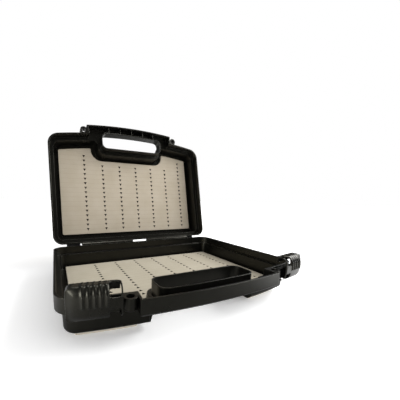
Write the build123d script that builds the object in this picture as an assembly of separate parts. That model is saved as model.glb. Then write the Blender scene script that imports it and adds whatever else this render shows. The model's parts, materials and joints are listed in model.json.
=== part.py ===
from build123d import *
from math import asin, atan, degrees, radians, sin, sqrt, tan
import os

# A fly fishing boat box: two moulded half shells hinged along the back, foam panels glued
# inside and outside each half, a split carrying handle and two latches that slide along rails.
# Millimetres, +Z up. The origin is the middle of the foam panel that the box lies on.
# The front, with the handle, is towards -Y. The box stands open, with the lid leaning back.

# Foam panels
panel_width = 295.0
panel_back = 85.5          # hinge-side edge of a panel
panel_crown = 98.5         # front edge on the middle line, before the handle notch
panel_corner = 3.0
arch_radius = 825.0        # the front edges of panel, rim and handle are arcs about one centre
outer_foam = 6.7
inner_foam = 6.7
glue_film = 0.3
film_inset = 1.5
notch_half = 83.3          # notch in a panel that goes round the hand hole
notch_bottom = 68.3
notch_radius = 22.0
notch_tip = 2.0

# Shell walls
floor_thickness = 3.0
wall = 2.5
tray_depth = 31.5          # foam surface to parting plane
wall_margin = 9.0          # foam edge to inner wall, at the parting plane
draft = 2.0
recess_half = 71.7         # recess under the handle, at the floor
recess_back = 74.5
recess_radius = 16.0
recess_draft = 10.0
recess_cut = 6.0           # flat cut across the recess's outer corners
rim_overhang = 6.0         # rim band outside the body wall
rim_depth = 16.0
hinge_side_extra = 1.5     # the hinge side of the shell stands this much further out
front_radius = 22.0        # corners of the rim, seen from above
back_radius = 17.0
shoulder_radius = 5.0
lip_gap = 1.8              # low lip round each inner panel
lip_width = 1.4
lip_rise = 2.0
lip_front = 88.0
parting_gap = 0.3          # between the two rims when shut

# Handle
handle_half = 93.3
handle_crown = 33.3        # crown of the handle beyond the panel arc
handle_depth = 18.5        # half of the handle's thickness
handle_bevel = 3.0
hole_half = 64.0
hole_crown = 16.5          # front edge of the hand hole beyond the panel arc
hole_back = 84.0
hole_radius = 9.0
hole_wall = 1.8
hole_bevel = 2.5
handle_rib_pitch = 25.0
handle_rib = 1.4
rib_root = 0.5
lid_rib_drop = 2.0         # from the parting plane to the ribs
base_rib_drop = 10.0

# Hinge
hinge_back = 2.8           # axis behind the rim
knuckle_radius = 3.8
knuckle_relief = 0.35
knuckle_gap = 0.4
knuckle_count = 6
gusset_root = 1.0          # how far a knuckle's gusset runs into the rim
gusset_drop = 14.0
hinge_inner = 16.0
hinge_inset = 49.5         # rim's end to the outermost knuckle
pin_radius = 1.5
pin_running = 0.05
pin_short = 1.0
open_angle = 103.1

# Feet
foot_inset = 35.5          # rim's end to the middle of a foot
foot_width = 24.0
foot_depth = 20.5
foot_reach = 10.4          # beyond the hinge axis
foot_round = 7.5
foot_edge = 1.2
foot_stop = 0.25
boss_border = 1.5
boss_round = 4.0
stem_width = 8.0
stem_height = 5.0
stem_length = 4.0
stem_spare = 0.5

# Latches
latch_length = 49.0
latch_travel = 14.5
latch_half = 15.8          # half of the latch's height
latch_proud = 1.0          # beyond the handle's crown
latch_wall = 2.5
latch_shoulder = 7.0
latch_inner_radius = 1.8
latch_end = 8.0            # roundings of the outer end, from above and from the front
latch_tip = 6.0
latch_heel = 5.0
latch_back = 1.2
latch_gap = 0.4
lip_open = 7.5             # half height of the slot between the latch's back lips
slide_gap = 0.3
shelf_half = 1.2
shelf_start = 0.5
window_arm = 1.9
window_length = 9.8
window_low = 5.5
window_corner = 4.8
grip_count = 5
grip_pitch = 5.1
grip_first = 14.2
grip_width = 2.2
grip_height = 0.9
grip_low = -2.0            # lower end of the ridges on the latch's front
grip_back = 2.0            # the ridges stop short of the latch's back

# Padlock eyes and latch rails
eye_inset = 6.6
eye_rise = 5.2
eye_radius = 7.0
eye_bore = 4.25
eye_bevel = 0.8
eye_root = 2.0             # the eye's root runs this far into the handle's end
rail_start = 14.3
rail_end = 44.3
rail_web = 2.8
rail_web_low = 2.7
rail_head = 2.6
stop_width = 2.0
stop_rise = 2.0

# Worked out from the sizes above
floor_z = outer_foam + glue_film
tray_z = floor_z + floor_thickness
foam_z = tray_z + glue_film + inner_foam
parting_z = foam_z + tray_depth
rim_z = parting_z - parting_gap / 2
arch_y = arch_radius - panel_crown
body_grow = wall_margin + wall
rim_grow = body_grow + rim_overhang
rim_radius = arch_radius + rim_grow
rim_half = panel_width / 2 + rim_grow
rim_back = panel_back + rim_grow + hinge_side_extra
hinge_y = rim_back + hinge_back
handle_angle = degrees(asin(handle_half / (arch_radius + handle_crown)))
latch_angle = handle_angle + degrees(atan((latch_length / 2 + latch_gap) / rim_radius))
latch_front = handle_crown - rim_grow + latch_proud
foot_gap = foot_reach * tan(radians(open_angle / 2)) + foot_stop
hinge_outer = rim_half - hinge_inset
foot_x = rim_half - foot_inset
knuckle_width = (hinge_outer - hinge_inner - (knuckle_count - 1) * knuckle_gap) / knuckle_count
far = 400.0
past = 1.0                 # cutters run this far past what they cut
sink = 0.5                 # joined forms run this far into each other


def span(low, high, depth_low, depth_high, z_low, z_high):
    """A box between two corners, with its second pair measured towards the front."""
    size = Box(high - low, depth_high - depth_low, z_high - z_low)
    return Pos((low + high) / 2, -(depth_low + depth_high) / 2, (z_low + z_high) / 2) * size


def arch_disc(grow):
    return Pos(0, arch_y) * Circle(arch_radius + grow)


def bay(half, back, radius):
    """A region with two rounded corners that runs on without an end towards the front."""
    face = Pos(0, -(back + far) / 2) * Rectangle(2 * half, far - back)
    return fillet(face.vertices().group_by(Axis.Y)[-1], radius)


def notch_face(grow):
    """The notch region, which gets smaller as the outline round it grows."""
    return bay(notch_half - grow, notch_bottom + grow, notch_radius - grow)


def plain_outline(grow, front, back, extra=0.0):
    """Panel outline without its notch, grown on all sides."""
    half = panel_width / 2 + grow
    edge = panel_back + grow + extra
    face = Pos(0, (edge - far) / 2) * Rectangle(2 * half, edge + far) & arch_disc(grow)
    face = fillet(face.vertices().group_by(Axis.Y)[0], front)
    return fillet(face.vertices().group_by(Axis.Y)[-1], back)


def notched_outline(grow):
    corner = panel_corner + grow
    face = plain_outline(grow, corner, corner) - notch_face(grow)
    deep = -(notch_bottom + notch_radius + past)
    tips = [v for v in face.vertices() if abs(abs(v.X) - notch_half + grow) < 0.01 and v.Y < deep]
    return fillet(tips, notch_tip + grow)


def sector(crown, angle, back):
    """The part of the arch disc between two radial lines, in front of a straight line."""
    reach = arch_radius + far
    side = reach * tan(radians(angle))
    wedge = Polygon((0, arch_y), (-side, arch_y - reach), (side, arch_y - reach), align=None)
    strip = Pos(0, -(back + far) / 2) * Rectangle(far, far - back)
    return arch_disc(crown) & wedge & strip


def hole_face(grow):
    low = -(hole_back - grow)
    face = Pos(0, (low - far) / 2) * Rectangle(2 * (hole_half + grow), far + low)
    face = face & arch_disc(hole_crown + grow)
    return fillet(face.vertices(), hole_radius + grow)


def hand_hole():
    """The hole for the fingers, bevelled where it comes out under the handle."""
    bevel = extrude(Pos(0, 0, parting_z - handle_depth) * hole_face(hole_bevel), hole_bevel, taper=45)
    return prism(hole_face(0), floor_z, parting_z + past) + bevel


def prism(face, z_low, z_high):
    return extrude(Pos(0, 0, z_low) * face, z_high - z_low)


def drafted(face, z_low, z_high):
    """A prism whose given face is the upper one, and whose sides draw in downwards."""
    return extrude(Pos(0, 0, z_high) * face, z_high - z_low, dir=(0, 0, -1), taper=draft)


def on_side(shape, side):
    """Place a shape drawn in the latch frame on the right or left end of the handle.

    In that frame x runs outwards along the slide, -y leads away from the rim, and z is
    measured from the parting plane."""
    x = rim_radius * sin(radians(latch_angle))
    y = arch_y - sqrt(rim_radius ** 2 - x ** 2)
    placed = Pos(x, y, parting_z) * Rot(0, 0, latch_angle) * shape
    return placed if side > 0 else mirror(placed, Plane.YZ)


def foam_panel(z_low, z_high):
    return prism(notched_outline(0), z_low, z_high)


def film(z_low, z_high):
    """Adhesive behind a panel, laid with a plain outline that stays short of the foam's edge."""
    face = Rectangle(panel_width - 2 * film_inset, far) & arch_disc(-film_inset)
    face = face & Pos(0, panel_back - film_inset - far / 2) * Rectangle(far, far)
    notch = Pos(0, -(notch_bottom - film_inset + far / 2)) * Rectangle(2 * (notch_half + film_inset), far)
    return prism(face - notch, z_low, z_high)


def recess(grow, z_low, z_high):
    """The space under the handle for the fingers, between two levels. It narrows upwards."""
    inset = (z_low - floor_z) * tan(radians(recess_draft)) - grow
    face = bay(recess_half - inset, recess_back + inset, recess_radius - inset)
    return extrude(Pos(0, 0, z_low) * face, z_high - z_low, taper=recess_draft)


def corner_cuts(grow, z_low, z_high):
    """Upright bars that take off the corners between the recess and the front of the body."""
    y = arch_y - sqrt((arch_radius + body_grow) ** 2 - recess_half ** 2)
    size = recess_cut + 2 * grow
    bar = prism(Rot(0, 0, 45) * Rectangle(size, size), z_low, z_high)
    return [Pos(s * recess_half, y) * bar for s in (-1, 1)]


def body_block():
    """Tray, rim band and handle as one solid block, before it is hollowed."""
    outline = plain_outline(body_grow, front_radius - rim_overhang, back_radius - rim_overhang,
                            hinge_side_extra)
    skin_z = parting_z - handle_depth
    body = drafted(outline, floor_z, rim_z)
    body = fillet(body.faces().sort_by(Axis.Z)[0].edges(), shoulder_radius)
    body = body - recess(0, floor_z, skin_z)
    body = body - corner_cuts(0, floor_z, skin_z)
    rim = prism(plain_outline(rim_grow, front_radius, back_radius, hinge_side_extra),
                parting_z - rim_depth, rim_z)
    handle = prism(sector(handle_crown, handle_angle, notch_bottom), skin_z, rim_z)
    skin = handle.faces().sort_by(Axis.Z)[0]
    edges = [e for e in skin.edges() if e.center().Y < -notch_bottom - past]
    handle = chamfer(edges, handle_bevel)
    return body + rim + handle


def tray_space():
    """The inside of a half: the tray, which steps out behind the rim band, and the hollow
    of the handle."""
    outline = plain_outline(wall_margin, front_radius - rim_overhang - wall,
                            back_radius - rim_overhang - wall, hinge_side_extra)
    space = drafted(outline, tray_z, parting_z + past)
    band = plain_outline(rim_grow - wall, front_radius - wall, back_radius - wall, hinge_side_extra)
    space = space + prism(band, parting_z - rim_depth + wall, parting_z + past)
    ledge_z = parting_z - handle_depth + wall
    space = space - recess(wall, tray_z - past, ledge_z) - corner_cuts(wall, tray_z - past, ledge_z)
    inner_angle = handle_angle - degrees(atan(wall / (arch_radius + handle_crown)))
    space = space + prism(sector(handle_crown - wall, inner_angle, notch_bottom), ledge_z, parting_z + past)
    return space - prism(hole_face(hole_wall), ledge_z - past, parting_z + 2 * past)


def handle_rib_web(index, drop):
    x = index * handle_rib_pitch
    low = parting_z - handle_depth + wall - rib_root
    web = span(x - handle_rib / 2, x + handle_rib / 2, panel_crown + hole_crown - hole_radius,
               panel_crown + handle_crown, low, parting_z - drop)
    return web & prism(sector(handle_crown - wall / 2, handle_angle, notch_bottom), low, parting_z)


def panel_lip():
    """A low lip behind and beside the inner panel."""
    half = panel_width / 2 + lip_gap
    back = panel_back + lip_gap
    outer = span(-half - lip_width, half + lip_width, -back - lip_width, lip_front,
                 tray_z - sink, tray_z + lip_rise)
    return outer - span(-half, half, -back, lip_front, tray_z - past, tray_z + lip_rise + past)


def knuckle_span(index):
    start = hinge_inner + index * (knuckle_width + knuckle_gap)
    return start, start + knuckle_width


def knuckle(index, bore):
    """One hinge barrel with the gusset that carries it on the rim, on the right side."""
    low, high = knuckle_span(index)
    middle = Pos((low + high) / 2, hinge_y, parting_z)
    root = hinge_back + gusset_root
    gusset = Polygon((-root, 0), (knuckle_radius, 0), (-root, -gusset_drop), align=None)
    gusset = extrude(Plane.YZ * gusset, knuckle_width / 2, both=True)
    barrel = Rot(0, 90, 0) * Cylinder(knuckle_radius, knuckle_width)
    hole = Rot(0, 90, 0) * Cylinder(bore, knuckle_width + 2 * past)
    return middle * (barrel + gusset), middle * hole


def knuckle_clearance(index):
    """A pocket in the rim for a barrel of the other half."""
    low, high = knuckle_span(index)
    reach = knuckle_radius + knuckle_relief
    return span(low - knuckle_gap, high + knuckle_gap, -hinge_y - reach, -hinge_y + reach,
                parting_z - reach, parting_z + past)


def foot_span():
    top = parting_z - foot_gap
    return top - foot_depth, top


def foot_boss(side):
    """A block under the rim band that gives the foot a flat seat."""
    low, high = foot_span()
    half = foot_width / 2 + boss_border
    block = span(side * foot_x - half, side * foot_x + half, -rim_back, -(panel_back + wall_margin - sink),
                 low - boss_border, parting_z - rim_depth + past)
    return fillet(block.edges().filter_by(Axis.X).group_by(Axis.Z)[0].sort_by(Axis.Y)[-1],
                  boss_round)


def foot(side):
    """A rubber foot: a rounded pad on a flat stem that is pushed into the boss."""
    low, high = foot_span()
    reach = hinge_y + foot_reach - rim_back
    pad = Box(foot_width, reach, high - low, align=(Align.CENTER, Align.MIN, Align.MIN))
    pad = fillet(pad.edges().filter_by(Axis.Z).group_by(Axis.Y)[-1], foot_round)
    pad = chamfer(pad.faces().sort_by(Axis.Y)[-1].edges().group_by(Axis.Z)[0], foot_edge)
    stem = Pos(0, -stem_length / 2, (high - low) / 2) * Box(stem_width, stem_length, stem_height)
    return Pos(side * foot_x, rim_back, low) * (pad + stem)


def stem_hole(side):
    low, high = foot_span()
    depth = stem_length + stem_spare
    return Pos(side * foot_x, rim_back - depth / 2, (low + high) / 2) * Box(stem_width, depth, stem_height)


def padlock_eye():
    """Ring beside the handle's end, in the latch frame. The latch's lip runs through its groove."""
    x = -latch_length / 2 + eye_inset
    top = -parting_gap / 2
    low = -(latch_half - latch_wall - slide_gap)
    height = top - low
    centre = Pos(x, -eye_rise, (top + low) / 2)
    ring = Cylinder(eye_radius, height)
    ring = centre * chamfer(ring.edges().group_by(Axis.Z)[0], eye_bevel)
    root = span(x - eye_inset - eye_root, x + eye_radius - past, -wall / 2, eye_rise, -lip_open + slide_gap, top)
    groove = span(x - 3 * eye_radius, x + 3 * eye_radius, latch_back - slide_gap,
                  latch_back + latch_wall + slide_gap, low - past, -lip_open + slide_gap)
    below = span(x - 3 * eye_radius, x + 3 * eye_radius, -2 * eye_radius, latch_back, low - past,
                 -lip_open + slide_gap)
    bore = centre * Cylinder(eye_bore, height + 2 * past)
    return (ring + root) - groove - below, bore


def latch_rail():
    """T-shaped rail on the base's rim, in the latch frame, with a stop for the latch's inner rib."""
    start = -latch_length / 2 + rail_start
    end = -latch_length / 2 + rail_end
    back = latch_back + latch_wall + slide_gap
    low = -(latch_half - latch_wall - slide_gap)
    head_top = -shelf_half - slide_gap
    web = span(start, end, -wall / 2, back + rail_head, -rail_web_low - rail_web, -rail_web_low)
    head = span(start, end, back, back + rail_head, low, head_top)
    stop = span(end - stop_width, end, back, back + rail_head + stop_rise, low, head_top)
    return web + head + stop


def latch_cap():
    """The latch's outer form: what a side, a top and a front outline have in common."""
    half = latch_length / 2
    depth = latch_front - latch_back
    middle = Pos(0, -(latch_back + latch_front) / 2)
    side = Rectangle(depth, 2 * latch_half)
    side = fillet(side.vertices().group_by(Axis.X)[0], latch_shoulder)
    side = Pos(-(latch_back + latch_front) / 2, 0) * side
    top = Rectangle(latch_length, depth)
    top = fillet(top.vertices().group_by(Axis.X)[-1].sort_by(Axis.Y)[0], latch_end)
    top = middle * fillet(top.vertices().group_by(Axis.X)[0].sort_by(Axis.Y)[-1], latch_heel)
    front = Rectangle(latch_length, 2 * latch_half)
    front = fillet(front.vertices().group_by(Axis.X)[-1], latch_tip)
    cap = extrude(Plane.YZ * side, half, both=True) & prism(top, -latch_half, latch_half)
    return cap & extrude(Plane.XZ * front, far, both=True)


def latch():
    """Sliding latch, shut, in the latch frame: a cap round both halves with lips at its back."""
    half = latch_length / 2
    inside = span(-half - past, half - latch_wall, latch_back + latch_wall, latch_front - latch_wall,
                  -latch_half + latch_wall, latch_half - latch_wall)
    corner = inside.edges().filter_by(Axis.Z).group_by(Axis.X)[-1].sort_by(Axis.Y)[0]
    inside = fillet(corner, latch_end - latch_wall)
    inside = fillet(inside.edges().filter_by(Axis.X).group_by(Axis.Y)[0], latch_inner_radius)
    slot = span(-half - past, half - latch_wall, 0, latch_back + latch_wall + slide_gap / 2,
                -lip_open, lip_open)
    shelf = span(-half + rail_start + shelf_start, half, latch_back + latch_wall + slide_gap, latch_front,
                 -shelf_half, shelf_half)
    rib_out = -half + rail_end - stop_width - slide_gap - latch_travel
    rib = span(rib_out - stop_width, rib_out, latch_back + latch_wall + rail_head + 2 * slide_gap,
               latch_front, -latch_half, 0)
    body = latch_cap() + grip_ridges() - (inside - shelf - rib) - slot
    window = Box(window_length, latch_front, latch_half)
    window = fillet(window.edges().filter_by(Axis.Z), window_corner)
    window_y = -(latch_back + latch_wall + latch_front / 2)
    window = Pos(-half + window_arm + window_length / 2, window_y) * window
    for s in (-1, 1):
        body = body - Pos(0, 0, s * (window_low + latch_half / 2)) * window
    return body


def grip_ridges():
    """Raised ridges for the thumb that run from the latch's upper side down its front."""
    depth = latch_front - latch_back
    outer = Rectangle(depth + grip_height, 2 * (latch_half + grip_height))
    outer = fillet(outer.vertices().group_by(Axis.X)[0], latch_shoulder + grip_height)
    inner = Pos(grip_height / 2, 0) * Rectangle(depth, 2 * latch_half)
    inner = fillet(inner.vertices().group_by(Axis.X)[0], latch_shoulder)
    band = outer - inner - Pos(0, grip_low - far / 2) * Rectangle(far, far)
    band = band - Pos(depth / 2, 0) * Rectangle(grip_back, far)
    band = Pos(-(latch_back + latch_front + grip_height) / 2, 0) * band
    ridge = extrude(Plane.YZ * band, grip_width / 2, both=True)
    return [Pos(-latch_length / 2 + grip_first + i * grip_pitch, 0, 0) * ridge for i in range(grip_count)]


def half_shell(lid):
    """One half shell in the base's place. The lid's half is turned over afterwards."""
    shell = body_block()
    for s in (-1, 1):
        shell = shell + foot_boss(s)
    eye, bore = padlock_eye()
    for s in (-1, 1):
        shell = shell + on_side(eye, s)
    shell = shell - tray_space() + panel_lip()
    for i in range(-2, 3):
        shell = shell + handle_rib_web(i, lid_rib_drop if lid else base_rib_drop)
    shell = shell - hand_hole()
    for s in (-1, 1):
        shell = shell - on_side(bore, s) - stem_hole(s)
        if not lid:
            shell = shell + on_side(latch_rail(), s)
    own = [i for i in range(knuckle_count) if i % 2 == (1 if lid else 0)]
    other = [i for i in range(knuckle_count) if i not in own]
    for i in other:
        cut = knuckle_clearance(i)
        shell = shell - cut - mirror(cut, Plane.YZ)
    for i in own:
        barrel, hole = knuckle(i, pin_radius + (pin_running if lid else 0))
        shell = shell + barrel + mirror(barrel, Plane.YZ)
        shell = shell - hole - mirror(hole, Plane.YZ)
    return shell


hinge_axis = Axis((0, hinge_y, parting_z), (1, 0, 0))


def to_lid(shape):
    """Turn a shape over onto the closed lid, then open it."""
    shut = mirror(shape, Plane.XY.offset(parting_z))
    return shut.rotate(hinge_axis, -open_angle)


parts = {}
parts["base_shell"] = half_shell(False)
parts["lid_shell"] = to_lid(half_shell(True))
inner = foam_panel(tray_z + glue_film, foam_z)
outer = foam_panel(0, outer_foam)
inner_film = film(tray_z, tray_z + glue_film)
outer_film = film(outer_foam, floor_z)
parts["base_inner_foam"] = inner
parts["base_outer_foam"] = outer
parts["base_inner_glue"] = inner_film
parts["base_outer_glue"] = outer_film
parts["lid_inner_foam"] = to_lid(inner)
parts["lid_outer_foam"] = to_lid(outer)
parts["lid_inner_glue"] = to_lid(inner_film)
parts["lid_outer_glue"] = to_lid(outer_film)
for side, name in ((-1, "left"), (1, "right")):
    middle = side * (hinge_inner + hinge_outer) / 2
    length = hinge_outer - hinge_inner - 2 * pin_short
    pin = Rot(0, 90, 0) * Cylinder(pin_radius, length)
    parts[name + "_hinge_pin"] = Pos(middle, hinge_y, parting_z) * pin
    parts[name + "_latch"] = on_side(Pos(latch_travel, 0, 0) * latch(), side)
    parts["base_" + name + "_foot"] = foot(side)
    parts["lid_" + name + "_foot"] = to_lid(foot(side))

os.makedirs("parts", exist_ok=True)
for name, shape in parts.items():
    export_step(shape, "parts/" + name + ".step")
    print(name, len(shape.solids()), round(shape.volume / 1000, 1), "cm3")
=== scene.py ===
import json
from math import cos, pi, radians

import bmesh
import bpy
from mathutils import Matrix, Vector
from mathutils.bvhtree import BVHTree


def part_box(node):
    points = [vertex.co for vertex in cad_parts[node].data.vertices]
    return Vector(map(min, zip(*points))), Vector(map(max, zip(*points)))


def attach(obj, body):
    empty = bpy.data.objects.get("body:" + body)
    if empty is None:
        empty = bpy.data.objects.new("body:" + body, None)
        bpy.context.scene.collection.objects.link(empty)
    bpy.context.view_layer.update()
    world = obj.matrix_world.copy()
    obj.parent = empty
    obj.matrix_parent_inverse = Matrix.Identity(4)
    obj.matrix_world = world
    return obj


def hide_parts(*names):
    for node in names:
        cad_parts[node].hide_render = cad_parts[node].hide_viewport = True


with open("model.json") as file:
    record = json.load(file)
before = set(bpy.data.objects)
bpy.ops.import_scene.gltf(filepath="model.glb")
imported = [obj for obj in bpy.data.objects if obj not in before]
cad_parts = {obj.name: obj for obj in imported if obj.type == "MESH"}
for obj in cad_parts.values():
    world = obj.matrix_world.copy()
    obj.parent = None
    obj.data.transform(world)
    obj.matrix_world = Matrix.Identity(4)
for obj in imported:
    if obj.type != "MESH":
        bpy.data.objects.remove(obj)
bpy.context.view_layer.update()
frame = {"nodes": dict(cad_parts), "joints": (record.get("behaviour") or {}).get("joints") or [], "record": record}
print("frame loaded", len(frame["nodes"]), "nodes")

mm = 0.001
joints = {joint["name"]: joint for joint in frame["joints"]}
hingePoint = Vector(joints["lid_hinge"]["pos_m"])
openAngle = radians(joints["lid_hinge"]["range_deg"][1])


# shading helpers

def hexColour(code):
    # sRGB hex to the linear values that the shaders take
    channels = [int(code[i:i + 2], 16) / 255 for i in (1, 3, 5)]
    linear = [c / 12.92 if c <= 0.04045 else ((c + 0.055) / 1.055) ** 2.4 for c in channels]
    return (*linear, 1.0)


def addNode(tree, kind, links=None, stops=(), **settings):
    # one node with its settings, socket values, incoming links and a ramp's two stops
    node = tree.nodes.new(kind)
    for key, value in settings.items():
        if hasattr(node, key):
            setattr(node, key, value)
        else:
            node.inputs[key.replace("_", " ")].default_value = value
    for socket, source in (links or {}).items():
        tree.links.new(source, node.inputs[socket])
    for i, (place, shade) in enumerate(stops):
        node.color_ramp.elements[i].position = place
        node.color_ramp.elements[i].color = hexColour(shade)
    return node


def newMaterial(name):
    material = bpy.data.materials.new(name)
    material.use_nodes = True
    tree = material.node_tree
    shader = tree.nodes["Principled BSDF"]
    coords = addNode(tree, "ShaderNodeTexCoord")
    return material, tree, shader, coords.outputs["Object"]


# plastic, rubber, steel and film

mouldedPlastic = {
    "shades": [(0.35, "#080807"), (0.85, "#0F0F0D")],   # nearly neutral, lighter where it is scuffed
    "scuffSize": 9 * mm,
    "specular": 0.34,
    "tint": "#FFFBE6",            # the black has a slightly olive gloss
    "ior": 1.49,
    "roughness": (0.26, 0.38),
    "latchGloss": 0.04,           # the latches are this much smoother than the shells
    "grainSize": 0.5 * mm,        # spark-eroded mould texture, drawn a little coarse so that it shows
    "grainDepth": 0.02 * mm,
    "grainStrength": 0.35,
    "flowSize": 45 * mm,          # slow waviness of a thin moulded wall
    "flowRange": (0.3, 0.7),
    "edgeRound": 0.9 * mm,        # moulded edges are never sharp and catch the light
}


def injectionMouldedPolypropylene(name, gloss=0.0):
    # black moulded polypropylene: dark body, soft broad highlights, bright thin edges
    p = mouldedPlastic
    material, tree, shader, coords = newMaterial(name)
    grain = addNode(tree, "ShaderNodeTexNoise", {"Vector": coords}, Scale=1 / p["grainSize"], Detail=2.0)
    flow = addNode(tree, "ShaderNodeTexNoise", {"Vector": coords}, Scale=1 / p["flowSize"], Detail=3.0)
    scuff = addNode(tree, "ShaderNodeTexNoise", {"Vector": coords}, Scale=1 / p["scuffSize"], Detail=6.0,
                    Roughness=0.7)
    shade = addNode(tree, "ShaderNodeValToRGB", {"Fac": scuff.outputs["Fac"]}, p["shades"])
    weak, strong = p["flowRange"]
    low, high = p["roughness"]
    rough = addNode(tree, "ShaderNodeMapRange", {"Value": flow.outputs["Fac"]},
                    From_Min=weak, From_Max=strong, To_Min=low - gloss, To_Max=high - gloss)
    rounded = addNode(tree, "ShaderNodeBevel", samples=6, Radius=p["edgeRound"])
    bump = addNode(tree, "ShaderNodeBump",
                   {"Height": grain.outputs["Fac"], "Normal": rounded.outputs["Normal"]},
                   Strength=p["grainStrength"], Distance=p["grainDepth"])
    tree.links.new(shade.outputs["Color"], shader.inputs["Base Color"])
    tree.links.new(rough.outputs["Result"], shader.inputs["Roughness"])
    tree.links.new(bump.outputs["Normal"], shader.inputs["Normal"])
    shader.inputs["IOR"].default_value = p["ior"]
    shader.inputs["Specular IOR Level"].default_value = p["specular"]
    shader.inputs["Specular Tint"].default_value = hexColour(p["tint"])
    return material


rubberFoot = {
    "shades": [(0.4, "#161514"), (0.8, "#232220")],
    "dustSize": 6 * mm,
    "gritSize": 0.7 * mm,
    "gritDepth": 0.05 * mm,
    "gritStrength": 0.5,
    "edgeRound": 0.6 * mm,
    "roughness": 0.72,
    "ior": 1.52,
}


def nitrileRubber(name):
    # moulded feet: dull black, fine sandy surface, no highlight but at the rim
    p = rubberFoot
    material, tree, shader, coords = newMaterial(name)
    grit = addNode(tree, "ShaderNodeTexNoise", {"Vector": coords}, Scale=1 / p["gritSize"], Detail=3.0)
    dust = addNode(tree, "ShaderNodeTexNoise", {"Vector": coords}, Scale=1 / p["dustSize"], Detail=5.0)
    shade = addNode(tree, "ShaderNodeValToRGB", {"Fac": dust.outputs["Fac"]}, p["shades"])
    rounded = addNode(tree, "ShaderNodeBevel", samples=6, Radius=p["edgeRound"])
    bump = addNode(tree, "ShaderNodeBump",
                   {"Height": grit.outputs["Fac"], "Normal": rounded.outputs["Normal"]},
                   Strength=p["gritStrength"], Distance=p["gritDepth"])
    tree.links.new(shade.outputs["Color"], shader.inputs["Base Color"])
    tree.links.new(bump.outputs["Normal"], shader.inputs["Normal"])
    shader.inputs["Roughness"].default_value = p["roughness"]
    shader.inputs["IOR"].default_value = p["ior"]
    return material


hingePin = {
    "shade": "#B9B7B2",
    "lineSize": 0.25 * mm,        # finer in life, drawn coarse so that they show
    "lineStretch": 0.03,          # the drawing lines run along the pin
    "lineDepth": 0.01 * mm,
    "lineStrength": 0.3,
    "roughness": (0.2, 0.42),
}


def drawnSteelRod(name):
    # drawn wire: fine lines along its length, a long narrow highlight
    p = hingePin
    material, tree, shader, coords = newMaterial(name)
    stretch = addNode(tree, "ShaderNodeMapping", {"Vector": coords}, Scale=(p["lineStretch"], 1.0, 1.0))
    lines = addNode(tree, "ShaderNodeTexNoise", {"Vector": stretch.outputs["Vector"]},
                    Scale=1 / p["lineSize"], Detail=3.0)
    low, high = p["roughness"]
    rough = addNode(tree, "ShaderNodeMapRange", {"Value": lines.outputs["Fac"]}, To_Min=low, To_Max=high)
    bump = addNode(tree, "ShaderNodeBump", {"Height": lines.outputs["Fac"]},
                   Strength=p["lineStrength"], Distance=p["lineDepth"])
    tree.links.new(rough.outputs["Result"], shader.inputs["Roughness"])
    tree.links.new(bump.outputs["Normal"], shader.inputs["Normal"])
    shader.inputs["Base Color"].default_value = hexColour(p["shade"])
    shader.inputs["Metallic"].default_value = 1.0
    return material


panelFilm = {
    "shades": [(0.3, "#BDB7A8"), (0.7, "#D0CBBE")],
    "cloudSize": 4 * mm,
    "roughness": 0.4,
    "ior": 1.47,
}


def acrylicAdhesiveFilm(name):
    # double-sided carrier film behind the foam: pale, waxy, slightly cloudy
    p = panelFilm
    material, tree, shader, coords = newMaterial(name)
    cloud = addNode(tree, "ShaderNodeTexNoise", {"Vector": coords}, Scale=1 / p["cloudSize"], Detail=3.0)
    shade = addNode(tree, "ShaderNodeValToRGB", {"Fac": cloud.outputs["Fac"]}, p["shades"])
    tree.links.new(shade.outputs["Color"], shader.inputs["Base Color"])
    shader.inputs["Roughness"].default_value = p["roughness"]
    shader.inputs["IOR"].default_value = p["ior"]
    return material


# foam

foamFinish = {
    "shadeStops": (0.35, 0.65),
    "cloudSize": 30 * mm,
    "poreSize": 0.6 * mm,
    "cellSize": 0.8 * mm,         # pores and cells are finer in life, drawn coarse so that they show
    "cellDepth": 0.12 * mm,
    "cellStrength": 0.5,
    # painted shade: the dark line of each closed slit stands in for the shade in its groove
    "slitPaintedShade": "#5A5142",
    "slitWidth": 0.55 * mm,       # the closed slit, drawn wide enough to show
    "slitPaintedShadeStrength": 0.4,
    "roughness": 0.86,
    "ior": 1.45,
    "sheen": 0.08,
}


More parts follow.
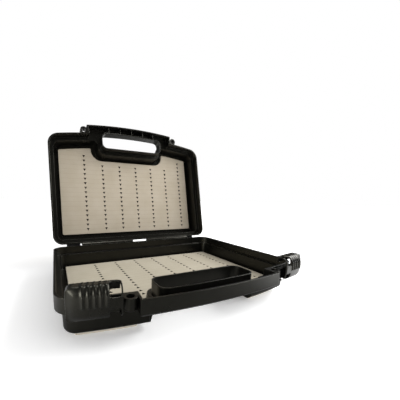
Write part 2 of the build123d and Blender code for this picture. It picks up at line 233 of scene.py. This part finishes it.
def crossLinkedFoam(name, pale, deep, toPanel, rowPitch):
    # closed-cell EVA foam, skived from a block: matt, fine pores, faint slits from hole to hole, each a real cut
    # whose dark line is painted shade
    p = foamFinish
    material, tree, shader, coords = newMaterial(name)
    place, turn, _ = toPanel.decompose()
    panel = addNode(tree, "ShaderNodeMapping", {"Vector": coords}, Location=place,
                    Rotation=turn.to_euler())
    split = addNode(tree, "ShaderNodeSeparateXYZ", {"Vector": panel.outputs["Vector"]})
    rows = addNode(tree, "ShaderNodeMath", {0: split.outputs["Y"]}, operation="DIVIDE")
    rows.inputs[1].default_value = rowPitch
    nearest = addNode(tree, "ShaderNodeMath", {0: rows.outputs["Value"]}, operation="ROUND")
    offset = addNode(tree, "ShaderNodeMath", {0: rows.outputs["Value"], 1: nearest.outputs["Value"]},
                     operation="SUBTRACT")
    away = addNode(tree, "ShaderNodeMath", {0: offset.outputs["Value"]}, operation="ABSOLUTE")
    slit = addNode(tree, "ShaderNodeMapRange", {"Value": away.outputs["Value"]},
                   interpolation_type="SMOOTHSTEP", From_Min=0.0,
                   From_Max=0.5 * p["slitWidth"] / rowPitch, To_Min=1.0, To_Max=0.0)
    cloud = addNode(tree, "ShaderNodeTexNoise", {"Vector": coords}, Scale=1 / p["cloudSize"], Detail=2.0)
    pores = addNode(tree, "ShaderNodeTexNoise", {"Vector": coords}, Scale=1 / p["poreSize"], Detail=4.0,
                    Roughness=0.65)
    cells = addNode(tree, "ShaderNodeTexVoronoi", {"Vector": coords}, Scale=1 / p["cellSize"])
    mixed = addNode(tree, "ShaderNodeMath", {0: cloud.outputs["Fac"], 1: pores.outputs["Fac"]},
                    operation="ADD")
    halved = addNode(tree, "ShaderNodeMath", {0: mixed.outputs["Value"]}, operation="MULTIPLY")
    halved.inputs[1].default_value = 0.5
    shade = addNode(tree, "ShaderNodeValToRGB", {"Fac": halved.outputs["Value"]},
                    list(zip(p["shadeStops"], (deep, pale))))
    # painted shade laid into the colour along each slit; the groove itself is in the bump
    line = addNode(tree, "ShaderNodeMath", {0: slit.outputs["Result"]}, operation="MULTIPLY")
    line.inputs[1].default_value = p["slitPaintedShadeStrength"]
    colour = addNode(tree, "ShaderNodeMix", {"Factor": line.outputs["Value"]}, data_type="RGBA")
    colour.inputs["B"].default_value = hexColour(p["slitPaintedShade"])
    height = addNode(tree, "ShaderNodeMath", {0: cells.outputs["Distance"], 1: slit.outputs["Result"]},
                     operation="SUBTRACT")
    bump = addNode(tree, "ShaderNodeBump", {"Height": height.outputs["Value"]},
                   Strength=p["cellStrength"], Distance=p["cellDepth"])
    tree.links.new(shade.outputs["Color"], colour.inputs["A"])
    tree.links.new(colour.outputs["Result"], shader.inputs["Base Color"])
    tree.links.new(bump.outputs["Normal"], shader.inputs["Normal"])
    shader.inputs["Roughness"].default_value = p["roughness"]
    shader.inputs["IOR"].default_value = p["ior"]
    shader.inputs["Sheen Weight"].default_value = p["sheen"]
    return material


paintedHoleShade = {
    # painted shade: these near-black tones stand in for the shade deep inside each hole
    "shades": [(0.3, "#0C0703"), (0.7, "#170F07")],
    "tornSize": 0.5 * mm,
    "tornDepth": 0.1 * mm,
    "tornStrength": 0.6,
    "roughness": 0.95,
}


def paintedShadeHoleMaterial(name):
    # inside of a hole: torn cells, coloured near black as painted deep shade; the foam itself is pale
    p = paintedHoleShade
    material, tree, shader, coords = newMaterial(name)
    torn = addNode(tree, "ShaderNodeTexNoise", {"Vector": coords}, Scale=1 / p["tornSize"], Detail=4.0)
    shade = addNode(tree, "ShaderNodeValToRGB", {"Fac": torn.outputs["Fac"]}, p["shades"])
    bump = addNode(tree, "ShaderNodeBump", {"Height": torn.outputs["Fac"]},
                   Strength=p["tornStrength"], Distance=p["tornDepth"])
    tree.links.new(shade.outputs["Color"], shader.inputs["Base Color"])
    tree.links.new(bump.outputs["Normal"], shader.inputs["Normal"])
    shader.inputs["Roughness"].default_value = p["roughness"]
    return material


# side of the wide margin beside the columns, and the pale and deep shades; all four panels are one foam, and their
# shades differ as painted light and shade: the base's outer panel is painted lighter for the bright floor beside
# it, the lid's inner panel painted darker to offset the key softbox
foamKinds = {
    "base_inner_foam": (-1, "#A69E8C", "#9C9481"),
    "base_outer_foam": (-1, "#DDD6C8", "#D2CABA"),
    "lid_inner_foam": (-1, "#A49A8A", "#9A907E"),
    "lid_outer_foam": (1, "#BAB09E", "#AFA491"),
}

foamPanel = {
    "columnCount": 7,
    "columnPitch": 37.6 * mm,
    "firstColumn": -98.6 * mm,
    "rowPitch": 9.525 * mm,
    "firstRow": 76.5 * mm,        # from the middle of the panel towards the hinge
    "outerRows": 17,              # first and last column
    "innerRows": 15,              # the columns under the handle notch
    "holeWidth": 5.5 * mm,
    "holeHeight": 5.1 * mm,
    "holeDepth": 5.4 * mm,
    "holeTaper": 0.7,             # the three flaps lean together towards the bottom
    "rimAngle": 60,               # edges sharper than this many degrees are softened
    "edgeRound": 0.5 * mm,
    "edgeSegments": 2,
    "flatness": 0.01 * mm,        # tells the face that shows from the others
}

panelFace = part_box("base_inner_foam")[1].z


def panelPlace(node):
    # frame of a panel: x along the hinge, y towards the hinge, z out of the face that shows
    if "outer" in node:
        place = Matrix.Rotation(pi, 4, "Y")
    else:
        place = Matrix.Translation((0, 0, panelFace))
    if node.startswith("lid"):
        flip = Matrix.Translation((0, 0, 2 * hingePoint.z)) @ Matrix.Scale(-1, 4, (0, 0, 1))
        opened = (Matrix.Translation(hingePoint) @ Matrix.Rotation(-openAngle, 4, "X")
                  @ Matrix.Translation(-hingePoint))
        place = opened @ flip @ place @ Matrix.Scale(-1, 4, (1, 0, 0))
    return place


def holePlaces(place, wideSide):
    # middle of every hole in the panel's frame
    p = foamPanel
    facing = place[0][0]
    last = p["columnCount"] - 1
    places = []
    for column in range(p["columnCount"]):
        x = -wideSide * facing * (p["firstColumn"] + column * p["columnPitch"])
        rowCount = p["outerRows"] if column in (0, last) else p["innerRows"]
        places += [(x, p["firstRow"] - row * p["rowPitch"]) for row in range(rowCount)]
    return places


def cutCells(shape, place, holes):
    # straight cuts through the panel leave a rectangle of face round each hole
    p = foamPanel
    acrossAt = sorted({round(x + s * p["holeWidth"], 7) for x, y in holes for s in (-1, 1)})
    alongAt = sorted({round(y + s * p["rowPitch"] / 2, 7) for x, y in holes for s in (-1, 1)})
    cuts = [((x, 0, 0), (1, 0, 0)) for x in acrossAt] + [((0, y, 0), (0, 1, 0)) for y in alongAt]
    turn = place.to_3x3()
    for at, axis in cuts:
        bmesh.ops.bisect_plane(shape, geom=shape.verts[:] + shape.edges[:] + shape.faces[:], dist=1e-7,
                               plane_co=place @ Vector(at), plane_no=turn @ Vector(axis))


def sinkHole(shape, cell, place, x, y):
    # a three-sided pit in a rectangle of the face, flat side towards the handle
    p = foamPanel
    inverse = place.inverted()
    corners = {}
    for vert in cell.verts:
        local = inverse @ vert.co
        corners[(local.x > x, local.y > y)] = vert
    nearLeft, nearRight = corners[(False, False)], corners[(True, False)]
    farLeft, farRight = corners[(False, True)], corners[(True, True)]
    halfWidth, halfHeight = p["holeWidth"] / 2, p["holeHeight"] / 2
    outline = [(-halfWidth, -halfHeight), (halfWidth, -halfHeight), (0.0, halfHeight)]
    taper = p["holeTaper"]
    mouth = [shape.verts.new(place @ Vector((x + dx, y + dy, 0))) for dx, dy in outline]
    bottom = [shape.verts.new(place @ Vector((x + taper * dx, y + taper * dy, -p["holeDepth"])))
              for dx, dy in outline]
    left, right, tip = mouth
    shape.faces.remove(cell)
    shape.faces.new((nearLeft, nearRight, right, left))
    shape.faces.new((nearRight, farRight, tip, right))
    shape.faces.new((farLeft, nearLeft, left, tip))
    shape.faces.new((farRight, farLeft, tip))
    walls = [shape.faces.new((mouth[i], mouth[(i + 1) % 3], bottom[(i + 1) % 3], bottom[i]))
             for i in range(3)]
    # the pit's walls and bottom take the painted-shade material
    for face in walls + [shape.faces.new(bottom)]:
        face.material_index = 1


def slitFoamPanel(node, finish, holeShadeFinish):
    # the panel's own outline with softened edges and rows of triangular holes
    p = foamPanel
    half, side, _ = node.split("_")
    place = panelPlace(node)
    holes = holePlaces(place, foamKinds[node][0])
    shape = bmesh.new()
    shape.from_mesh(frame["nodes"][node].data)
    bmesh.ops.remove_doubles(shape, verts=shape.verts, dist=1e-6)
    bmesh.ops.dissolve_limit(shape, angle_limit=radians(1), verts=shape.verts, edges=shape.edges)
    rimEdges = [edge for edge in shape.edges
                if len(edge.link_faces) == 2 and edge.calc_face_angle(0) > radians(p["rimAngle"])]
    bmesh.ops.bevel(shape, geom=rimEdges, offset=p["edgeRound"], segments=p["edgeSegments"], profile=0.5,
                    affect="EDGES", material=-1, clamp_overlap=True)
    cutCells(shape, place, holes)
    inverse = place.inverted()
    middles = [(inverse @ face.calc_center_median(), face) for face in shape.faces
               if len(face.verts) == 4]
    flat = [(middle, face) for middle, face in middles if abs(middle.z) < p["flatness"]]
    cells = [min(flat, key=lambda pair: (pair[0].xy - Vector(hole)).length)[1] for hole in holes]
    for cell, (x, y) in zip(cells, holes):
        sinkHole(shape, cell, place, x, y)
    bmesh.ops.recalc_face_normals(shape, faces=shape.faces)
    mesh = bpy.data.meshes.new(node + "Slit")
    shape.to_mesh(mesh)
    shape.free()
    mesh.materials.append(finish)
    mesh.materials.append(holeShadeFinish)
    panel = bpy.data.objects.new(node + "Slit", mesh)
    bpy.context.collection.objects.link(panel)
    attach(panel, half)
    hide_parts(node)
    print(node, len(holes), "holes")


holePaintedShade = paintedShadeHoleMaterial("foamHolePaintedShade")
for node, (_, pale, deep) in foamKinds.items():
    toPanel = Matrix.Translation((0, -foamPanel["firstRow"], 0)) @ panelPlace(node).inverted()
    finish = crossLinkedFoam(node + "Finish", pale, deep, toPanel, foamPanel["rowPitch"])
    slitFoamPanel(node, finish, holePaintedShade)


# latches

slidingLatch = {
    "half": 24.5 * mm,            # half of the length along the slide
    "lowerHalf": 15.8 * mm,       # parting plane to the latch's underside
    "depth": 16.2 * mm,           # back to front, without the ridges
    "voxel": 0.5 * mm,
    "softening": 12,              # rounds of smoothing, on the outside only
    "softeningShare": 0.5,
    "cornerEase": 0.18 * mm,      # keeps the inner corners, which the cells round off, clear of the rail
    "lipDepth": 4.5 * mm,         # the lips at the back keep their sharp sliding faces
    "reliefReach": (0.5, 0.95),   # shares of the depth between which the front's relief sets in
    "crownStart": 7.0 * mm,       # the front falls away from here to the outer end
    "crownFall": 4.4 * mm,
    "bellyFall": 2.4 * mm,        # and a little towards its upper and lower edges
    "ridgeCount": 5,
    "ridgePitch": 5.1 * mm,
    "ridgeFirst": -10.3 * mm,
    "ridgeWidth": 2.4 * mm,
    "ridgeRise": 0.5 * mm,        # on top of the solid's own ribs
    "ridgeSpan": (-2.5 * mm, 9.0 * mm),
    "ridgeFade": 2.0 * mm,
}


def easeBetween(value, low, high):
    k = min(max((value - low) / (high - low), 0.0), 1.0)
    return k * k * (3 - 2 * k)


def frontRelief(along, height):
    # how far the front stands out from its flat outline, ridges up and crowned ends down
    p = slidingLatch
    fall = p["crownFall"] * max(0.0, (along - p["crownStart"]) / (p["half"] - p["crownStart"])) ** 2
    fall += p["bellyFall"] * (height / p["lowerHalf"]) ** 2
    low, high = p["ridgeSpan"]
    fade = p["ridgeFade"]
    level = easeBetween(height, low, low + fade) * easeBetween(-height, -high, -high + fade)
    rise = 0.0
    for i in range(p["ridgeCount"]):
        away = abs(along - p["ridgeFirst"] - i * p["ridgePitch"])
        if away < p["ridgeWidth"] / 2:
            rise = p["ridgeRise"] * level * cos(pi * away / p["ridgeWidth"]) ** 2
    return rise - fall


def roundedLatch(node, finish):
    # the latch with the soft roundings, crowned front and thumb ridges of the real moulding
    p = slidingLatch
    out = Vector(joints[node + "_slide"]["axis"]).normalized()
    if out.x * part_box(node)[0].x < 0:
        out = -out
    ahead = out.cross(Vector((0, 0, 1)))
    if ahead.y > 0:
        ahead = -ahead
    latch = bpy.data.objects.new(node + "Rounded", frame["nodes"][node].data.copy())
    bpy.context.collection.objects.link(latch)
    remesh = latch.modifiers.new("evenCells", "REMESH")
    remesh.mode = "VOXEL"
    remesh.voxel_size = p["voxel"]
    cells = bpy.data.meshes.new_from_object(latch.evaluated_get(bpy.context.evaluated_depsgraph_get()))
    latch.modifiers.clear()
    latch.data = cells
    shape = bmesh.new()
    shape.from_mesh(cells)
    shape.normal_update()
    for vert in shape.verts:
        vert.co -= vert.normal * p["cornerEase"]
    middle = max(v.co.dot(out) for v in shape.verts) - p["half"]
    back = min(v.co.dot(ahead) for v in shape.verts)
    walls = BVHTree.FromBMesh(shape)                  # tells the outside from the cavity
    seen = [v for v in shape.verts if v.co.dot(ahead) - back > p["lipDepth"]
            and walls.ray_cast(v.co + v.normal * p["voxel"], v.normal)[0] is None]
    for _ in range(p["softening"]):
        bmesh.ops.smooth_vert(shape, verts=seen, factor=p["softeningShare"],
                              use_axis_x=True, use_axis_y=True, use_axis_z=True)
    parting = min(v.co.z for v in shape.verts) + p["lowerHalf"]
    reliefStart, reliefFull = [share * p["depth"] for share in p["reliefReach"]]
    for vert in shape.verts:
        reach = easeBetween(vert.co.dot(ahead) - back, reliefStart, reliefFull)
        vert.co += ahead * reach * frontRelief(vert.co.dot(out) - middle, vert.co.z - parting)
    for face in shape.faces:
        face.smooth = True
    shape.to_mesh(cells)
    shape.free()
    cells.materials.clear()
    cells.materials.append(finish)
    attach(latch, node)
    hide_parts(node)
    print(node, len(cells.polygons), "faces")


# dress the hard parts

finishes = {
    "shell": injectionMouldedPolypropylene("shellPolypropylene"),
    "latch": injectionMouldedPolypropylene("latchPolypropylene", gloss=mouldedPlastic["latchGloss"]),
    "foot": nitrileRubber("footNitrileRubber"),
    "pin": drawnSteelRod("pinDrawnSteel"),
    "glue": acrylicAdhesiveFilm("panelAdhesiveFilm"),
}
for part in frame["record"]["subparts"]:
    finish = finishes.get(part["material_slot"])
    if finish:
        slots = frame["nodes"][part["node"]].data.materials
        slots.clear()
        slots.append(finish)
for node in ("left_latch", "right_latch"):
    roundedLatch(node, finishes["latch"])
print("hard parts dressed")


# studio

studioFloor = {
    "size": 12.0,
    "shade": "#FFFFFF",
    "mirrored": [(0.12, "#858585"), (0.28, "#FFFFFF")],   # as the plastic mirrors it, going sideways
    "glow": 0.18,                 # lifts the soft shadow to the photograph's white
    "farGlow": 0.7,               # and the far floor to the backdrop's
    "farReach": (0.5, 1.5),       # distances between which the one turns into the other
    "roughness": 0.9,
    "specular": 0.1,
}


def makeFloor():
    p = studioFloor
    floor = bmesh.new()
    bmesh.ops.create_grid(floor, x_segments=1, y_segments=1, size=p["size"] / 2)
    mesh = bpy.data.meshes.new("studioFloor")
    floor.to_mesh(mesh)
    floor.free()
    material, tree, shader, coords = newMaterial("studioFloorPaper")
    rays = addNode(tree, "ShaderNodeLightPath")
    tone = addNode(tree, "ShaderNodeMix", {"Factor": rays.outputs["Is Glossy Ray"]}, data_type="RGBA")
    tone.inputs["A"].default_value = hexColour(p["shade"])
    apart = addNode(tree, "ShaderNodeSeparateXYZ", {"Vector": coords})
    sideways = addNode(tree, "ShaderNodeMath", {0: apart.outputs["X"]}, operation="ABSOLUTE")
    mirrored = addNode(tree, "ShaderNodeValToRGB", {"Fac": sideways.outputs["Value"]}, p["mirrored"])
    distance = addNode(tree, "ShaderNodeVectorMath", {0: coords}, operation="LENGTH")
    near, far = p["farReach"]
    glow = addNode(tree, "ShaderNodeMapRange", {"Value": distance.outputs["Value"]},
                   From_Min=near, From_Max=far, To_Min=p["glow"], To_Max=p["farGlow"])
    fade = addNode(tree, "ShaderNodeMapRange",
                   {"Value": rays.outputs["Is Glossy Ray"], "To Min": glow.outputs["Result"]}, To_Max=0.0)
    tree.links.new(mirrored.outputs["Color"], tone.inputs["B"])
    tree.links.new(tone.outputs["Result"], shader.inputs["Base Color"])
    tree.links.new(fade.outputs["Result"], shader.inputs["Emission Strength"])
    shader.inputs["Emission Color"].default_value = hexColour(p["shade"])
    shader.inputs["Roughness"].default_value = p["roughness"]
    shader.inputs["Specular IOR Level"].default_value = p["specular"]
    mesh.materials.append(material)
    table = bpy.data.objects.new("studioFloor", mesh)
    bpy.context.collection.objects.link(table)


# place, target, size, power, and whether it lights matt surfaces and shows in glossy ones
softboxes = {
    "keySoftbox": ((0.9, -0.9, 0.8), (0, 0, 0.05), 1.2, 8.0, True, False),
    "rimSoftbox": ((1.1, -0.2, 0.8), (0, 0, 0.1), 0.9, 22.0, True, True),
    "leftStrip": ((-0.9, -0.4, 0.3), (-0.1, -0.1, 0.05), 0.5, 9.0, False, True),
    "topStrip": ((0.0, 0.1, 1.2), (-0.1, -0.1, 0.05), 0.5, 9.0, False, True),
}


def softLight(name, place, target, size, power, onMatt, inGloss):
    light = bpy.data.lights.new(name, "AREA")
    light.size = size
    light.energy = power
    lamp = bpy.data.objects.new(name, light)
    lamp.location = place
    lamp.visible_diffuse = onMatt
    lamp.visible_glossy = inGloss
    lamp.visible_camera = False
    lamp.rotation_euler = (Vector(target) - Vector(place)).to_track_quat("-Z", "Y").to_euler()
    bpy.context.collection.objects.link(lamp)


studioSky = {
    "shade": "#FFFFFF",
    "backdrop": 1.0,              # what the camera sees behind the object
    "roomLight": 0.82,            # what lights the matt surfaces
    "darkCards": 0.15,            # what the glossy plastic mirrors
}


def makeSky():
    p = studioSky
    world = bpy.data.worlds.new("studioSky")
    world.use_nodes = True
    tree = world.node_tree
    sky = tree.nodes["Background"]
    sky.inputs["Color"].default_value = hexColour(p["shade"])
    rays = addNode(tree, "ShaderNodeLightPath")
    behind = addNode(tree, "ShaderNodeMapRange", {"Value": rays.outputs["Is Camera Ray"]},
                     To_Min=p["roomLight"], To_Max=p["backdrop"])
    level = addNode(tree, "ShaderNodeMapRange",
                    {"Value": rays.outputs["Is Glossy Ray"], "To Min": behind.outputs["Result"]},
                    To_Max=p["darkCards"])
    tree.links.new(level.outputs["Result"], sky.inputs["Strength"])
    bpy.context.scene.world = world


makeFloor()
for name, settings in softboxes.items():
    softLight(name, *settings)
makeSky()
bpy.context.scene.view_settings.view_transform = "Standard"


# camera, matched to the photograph's view

cameraView = {
    "place": (-0.15936, -0.28489, 0.13908),
    "right": (0.91728, -0.39790, 0.01663),
    "down": (-0.05205, -0.16117, -0.98555),
    "forward": (0.39483, 0.90316, -0.16855),
    "lens": 18.642,
    "sensor": 36.0,
    "shiftX": 0.1370,
    "shiftY": 0.0804,
    "clipStart": 0.01,
}


def makeCamera():
    p = cameraView
    camera = bpy.data.cameras.new("photoCamera")
    camera.lens = p["lens"]
    camera.sensor_width = p["sensor"]
    camera.sensor_fit = "HORIZONTAL"
    camera.shift_x = p["shiftX"]
    camera.shift_y = p["shiftY"]
    camera.clip_start = p["clipStart"]
    holder = bpy.data.objects.new("photoCamera", camera)
    right, down, forward = Vector(p["right"]), Vector(p["down"]), Vector(p["forward"])
    turn = Matrix((right, -down, -forward)).transposed().to_4x4()
    holder.matrix_world = Matrix.Translation(p["place"]) @ turn
    bpy.context.collection.objects.link(holder)
    bpy.context.scene.camera = holder


makeCamera()
print("studio and camera ready")
